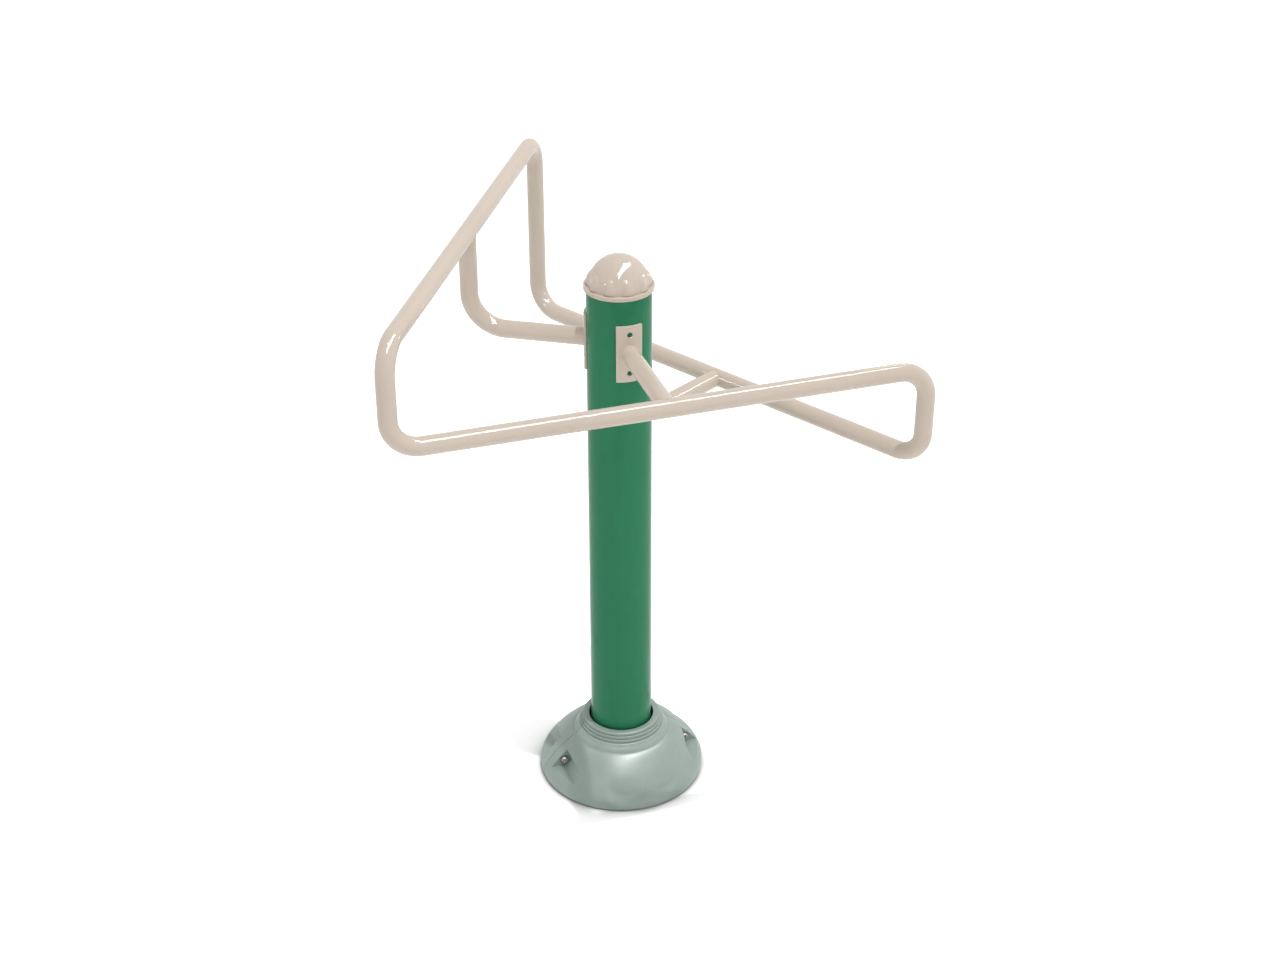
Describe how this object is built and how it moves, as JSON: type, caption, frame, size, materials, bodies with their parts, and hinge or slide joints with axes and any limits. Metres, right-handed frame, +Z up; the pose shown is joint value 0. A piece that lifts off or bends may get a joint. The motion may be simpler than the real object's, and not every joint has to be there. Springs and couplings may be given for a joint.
{
  "type": "double stretching post",
  "caption": "Outdoor stretching station: a round post in a cast base cover under a domed cap, carrying a three-sided loop of bent tube grab bars that step from low to high round it.",
  "frame": {"origin": "on the post's axis at ground level, the middle of the base flange's underside", "axes": "+Z up along the post; the front arm runs towards -Y, and +X points to the right as one faces the front bar"},
  "size_m": [0.955, 0.8312, 1.1015],
  "materials": {
    "green_paint": "satin green powder coat",
    "beige_paint": "glossy beige powder coat",
    "cast_grey_green": "satin grey-green coated casting",
    "zinc_steel": "zinc plated steel"
  },
  "bodies": {
    "root": {"base_flange": "zinc_steel", "anchor_stud_1": "zinc_steel", "anchor_stud_2": "zinc_steel", "anchor_stud_3": "zinc_steel", "anchor_stud_4": "zinc_steel", "anchor_washer_1": "zinc_steel", "anchor_washer_2": "zinc_steel", "anchor_washer_3": "zinc_steel", "anchor_washer_4": "zinc_steel", "anchor_nut_1": "zinc_steel", "anchor_nut_2": "zinc_steel", "anchor_nut_3": "zinc_steel", "anchor_nut_4": "zinc_steel", "gusset_1": "green_paint", "gusset_2": "green_paint", "gusset_3": "green_paint", "gusset_4": "green_paint", "post_tube": "green_paint", "cover_front": "cast_grey_green", "cover_rear": "cast_grey_green", "cover_bolt_left": "zinc_steel", "cover_bolt_right": "zinc_steel", "cover_washer_left": "zinc_steel", "cover_washer_right": "zinc_steel", "cover_nut_left": "zinc_steel", "cover_nut_right": "zinc_steel", "post_cap": "beige_paint", "front_plate": "beige_paint", "front_arm": "beige_paint", "front_bar": "beige_paint", "high_plate": "beige_paint", "high_arm": "beige_paint", "high_bar": "beige_paint", "low_plate": "beige_paint", "low_arm": "beige_paint", "low_bar": "beige_paint", "corner_front_left": "beige_paint", "corner_rear": "beige_paint", "corner_front_right": "beige_paint", "front_screw_upper": "green_paint", "front_screw_lower": "green_paint", "high_screw_upper": "green_paint", "high_screw_lower": "green_paint", "low_screw_upper": "green_paint", "low_screw_lower": "green_paint", "front_insert_upper": "zinc_steel", "front_insert_lower": "zinc_steel", "high_insert_upper": "zinc_steel", "high_insert_lower": "zinc_steel", "low_insert_upper": "zinc_steel", "low_insert_lower": "zinc_steel"}
  },
  "joints": []
}
